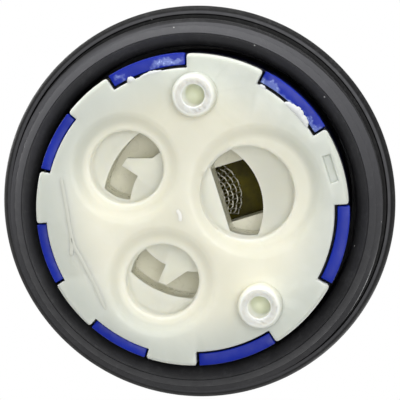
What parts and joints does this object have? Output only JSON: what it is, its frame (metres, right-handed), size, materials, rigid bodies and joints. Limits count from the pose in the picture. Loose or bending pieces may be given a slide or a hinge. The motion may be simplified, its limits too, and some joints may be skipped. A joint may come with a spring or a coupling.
{
  "type": "ceramic disc tap cartridge",
  "caption": "Single lever mixer cartridge with a ported base, locating pegs, clipped housing, screw ring, ceramic discs and a tilting, turning lever.",
  "frame": {"origin": "centre of the base face that seats in the tap body, on the cartridge axis", "axes": "+Z along the axis towards the lever, +Y towards the outlet port, -Y towards the two inlet ports and the user, -X the hot side"},
  "size_m": [0.047, 0.047, 0.0552],
  "materials": {
    "natural_acetal": "natural, slightly see-through moulding",
    "blue_moulding": "blue moulding",
    "black_moulding": "satin black",
    "lapped_ceramic": "lapped alumina ceramic",
    "dark_moulding": "dark olive moulding",
    "seal_rubber": "moulded rubber",
    "stainless": "stainless wire and pin",
    "plated_brass": "nickel plated",
    "white_slip": "low friction plastic",
    "grey_moulding": "grey moulding",
    "red_moulding": "red moulding"
  },
  "bodies": {
    "cartridge_body": {"base_plate": "natural_acetal", "cartridge_housing": "blue_moulding", "fixed_disc": "lapped_ceramic", "hot_inlet_seal": "seal_rubber", "cold_inlet_seal": "seal_rubber", "outlet_seal": "seal_rubber", "slip_ring": "white_slip"},
    "sleeve": {"guide_sleeve": "grey_moulding", "guide_o_ring": "seal_rubber", "lever_pin": "stainless", "limit_ring": "red_moulding"},
    "lever": {"lever": "plated_brass"},
    "shuttle": {"disc_carrier": "dark_moulding", "moving_disc": "lapped_ceramic", "carrier_seal": "seal_rubber", "silencer_mesh": "stainless"},
    "screw_ring": {"screw_ring": "black_moulding"}
  },
  "joints": [
    {"name": "temperature_turn", "type": "hinge", "parent": "cartridge_body", "child": "sleeve", "pos_m": [0, 0, 0], "axis": [0, 0, 1], "range_deg": [-50, 50]},
    {"name": "lever_tilt", "type": "hinge", "parent": "sleeve", "child": "lever", "pos_m": [0, 0, 0.02882], "axis": [-1, 0, 0], "range_deg": [0, 25]},
    {"name": "disc_slide", "type": "slide", "parent": "sleeve", "child": "shuttle", "axis": [0, -1, 0], "range_m": [0, 0.00455]},
    {"name": "ring_turn", "type": "hinge", "parent": "cartridge_body", "child": "screw_ring", "pos_m": [0, 0, 0], "axis": [0, 0, 1], "continuous": true}
  ],
  "couplings": [
    {"joint": "disc_slide", "follows": "lever_tilt", "m_per_rad": 0.010417}
  ]
}
